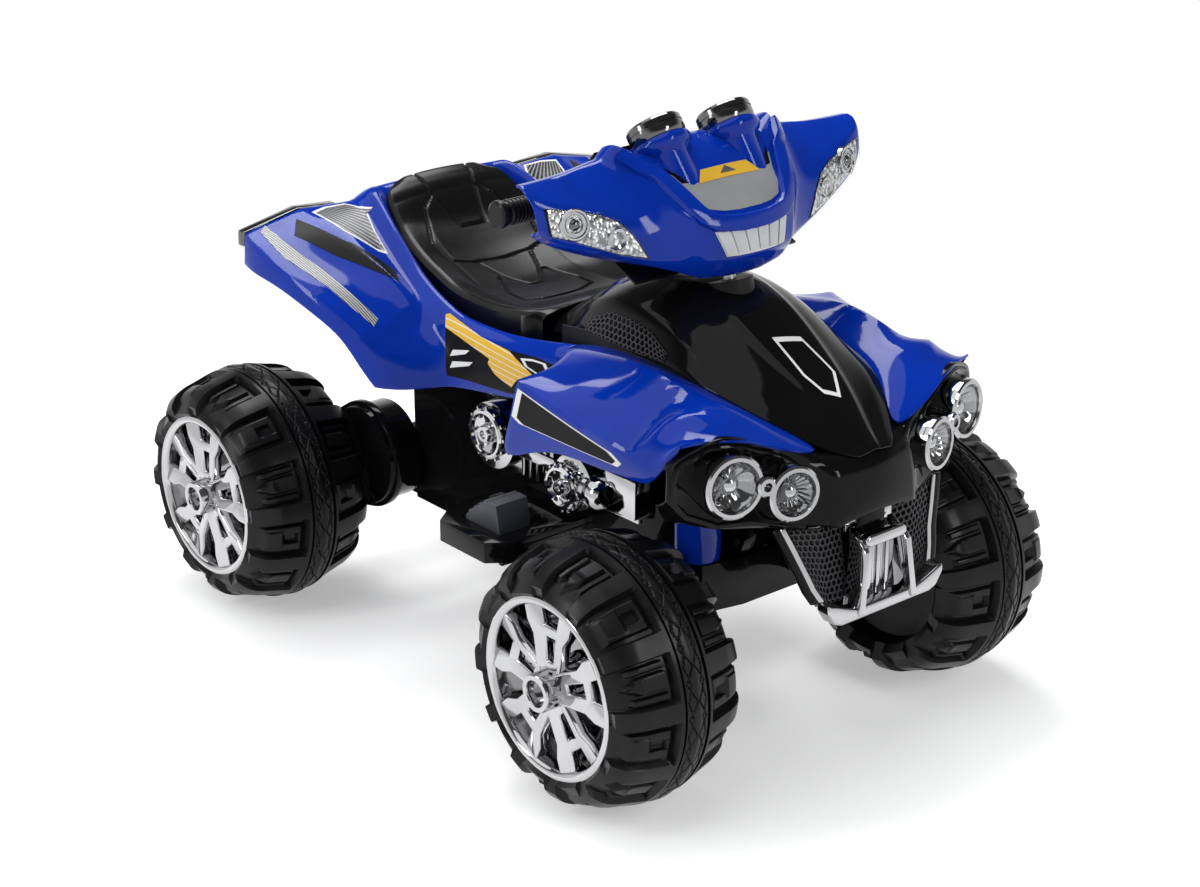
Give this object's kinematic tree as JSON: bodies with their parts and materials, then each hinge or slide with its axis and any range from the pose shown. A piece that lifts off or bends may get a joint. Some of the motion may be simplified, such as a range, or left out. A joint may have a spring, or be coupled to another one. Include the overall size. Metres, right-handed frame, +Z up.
{
  "type": "kids quad bike",
  "caption": "Ride-on toy quad with chunky wheels, steered by a faired handlebar through kingpins and a tie rod, with a saddle, footboards and a foot pedal.",
  "frame": {"origin": "on the ground, midway along and across the vehicle", "axes": "+X forwards, +Y to the rider's left, +Z up"},
  "size_m": [1, 0.6816, 0.6964],
  "materials": {
    "tyre_black": "moulded semi matt",
    "chrome_trim": "mirror plated",
    "blue_shell": "gloss",
    "black_gloss": "gloss",
    "black_matte": "fine grain",
    "steel": "zinc plated",
    "grey_plastic": "satin",
    "clear_lens": "clear",
    "white_lens": "gloss",
    "grip_rubber": "ribbed",
    "red_button": "gloss",
    "yellow_button": "gloss"
  },
  "bodies": {
    "chassis": {"battery": "grey_plastic", "battery_strap": "black_matte", "bumper_bracket": "black_matte", "charge_socket": "black_matte", "chassis_tub": "black_matte", "control_box": "black_matte", "engine_cover_left": "chrome_trim", "engine_cover_right": "chrome_trim", "front_beam": "black_matte", "front_body_shell": "blue_shell", "front_bumper": "chrome_trim", "front_fascia": "black_gloss", "gearbox_left": "black_matte", "gearbox_right": "black_matte", "grille_mesh": "black_matte", "kingpin_columns": "blue_shell", "kingpins": "steel", "lamp_lenses": "clear_lens", "lamp_reflectors": "chrome_trim", "motors": "steel", "neck_collar": "black_gloss", "pedal_switch": "black_matte", "rear_axle": "steel", "rear_axle_nuts": "steel", "rear_body_shell": "blue_shell", "seat": "black_matte", "steering_bush": "black_matte", "tail_trim": "chrome_trim", "tank_cover": "black_gloss", "tank_vents": "black_matte"},
    "steering": {"steering_shaft": "steel", "handlebar": "steel", "grips": "grip_rubber", "handlebar_fairing": "blue_shell", "dash_cover": "black_matte", "headlamp_lenses": "clear_lens", "light_bar": "white_lens", "intake_caps": "chrome_trim"},
    "knuckle_right": {"knuckle_right": "steel", "front_axle_nut_right": "steel"},
    "knuckle_left": {"knuckle_left": "steel", "front_axle_nut_left": "steel"},
    "tie_rod": {"tie_rod": "steel"},
    "pedal": {"pedal": "grey_plastic"},
    "start_button": {"start_button": "red_button"},
    "horn_button": {"horn_button": "yellow_button"},
    "direction_rocker": {"direction_rocker": "black_gloss"},
    "wheel_front_right": {"tyre_front_right": "tyre_black", "wheel_cover_front_right": "chrome_trim", "hub_cap_front_right": "chrome_trim"},
    "wheel_front_left": {"tyre_front_left": "tyre_black", "wheel_cover_front_left": "chrome_trim", "hub_cap_front_left": "chrome_trim"},
    "wheel_rear_right": {"tyre_rear_right": "tyre_black", "wheel_cover_rear_right": "chrome_trim", "hub_cap_rear_right": "chrome_trim"},
    "wheel_rear_left": {"tyre_rear_left": "tyre_black", "wheel_cover_rear_left": "chrome_trim", "hub_cap_rear_left": "chrome_trim"}
  },
  "joints": [
    {"name": "steering", "type": "hinge", "parent": "chassis", "child": "steering", "pos_m": [0.33557, 0, 0.17287], "axis": [-0.2588, 0, 0.9659], "range_deg": [-18, 18]},
    {"name": "kingpin_right", "type": "hinge", "parent": "chassis", "child": "knuckle_right", "pos_m": [0.337, -0.12475, 0.15], "axis": [0, 0, 1], "range_deg": [-18, 18]},
    {"name": "kingpin_left", "type": "hinge", "parent": "chassis", "child": "knuckle_left", "pos_m": [0.337, 0.12475, 0.15], "axis": [0, 0, 1], "range_deg": [-18, 18]},
    {"name": "tie_rod_pivot", "type": "hinge", "parent": "knuckle_right", "child": "tie_rod", "pos_m": [0.295, -0.12475, 0.162], "axis": [0, 0, 1], "range_deg": [-18, 18]},
    {"name": "front_right_spin", "type": "hinge", "parent": "knuckle_right", "child": "wheel_front_right", "pos_m": [0.322, -0.24075, 0.15], "axis": [0, 1, 0], "continuous": true},
    {"name": "front_left_spin", "type": "hinge", "parent": "knuckle_left", "child": "wheel_front_left", "pos_m": [0.322, 0.24075, 0.15], "axis": [0, 1, 0], "continuous": true},
    {"name": "rear_right_spin", "type": "hinge", "parent": "chassis", "child": "wheel_rear_right", "pos_m": [-0.35, -0.24075, 0.15], "axis": [0, 1, 0], "continuous": true},
    {"name": "rear_left_spin", "type": "hinge", "parent": "chassis", "child": "wheel_rear_left", "pos_m": [-0.35, 0.24075, 0.15], "axis": [0, 1, 0], "continuous": true},
    {"name": "pedal_press", "type": "hinge", "parent": "chassis", "child": "pedal", "pos_m": [0.049, -0.188, 0.214], "axis": [0, 1, 0], "range_deg": [0, 6], "stiffness_Nm_per_rad": 4, "springref_deg": -5.73},
    {"name": "start_push", "type": "slide", "parent": "steering", "child": "start_button", "axis": [0.779, 0, -0.627], "range_m": [0, 0.003], "stiffness_N_per_m": 400, "springref_m": -0.001},
    {"name": "horn_push", "type": "slide", "parent": "steering", "child": "horn_button", "axis": [0.779, 0, -0.627], "range_m": [0, 0.003], "stiffness_N_per_m": 400, "springref_m": -0.001},
    {"name": "direction_tilt", "type": "hinge", "parent": "steering", "child": "direction_rocker", "pos_m": [0.1422, 0, 0.6325], "axis": [0, 1, 0], "range_deg": [-7, 7]}
  ],
  "couplings": [
    {"joint": "kingpin_right", "follows": "steering", "ratio": 1},
    {"joint": "kingpin_left", "follows": "steering", "ratio": 1},
    {"joint": "tie_rod_pivot", "follows": "steering", "ratio": -1}
  ]
}
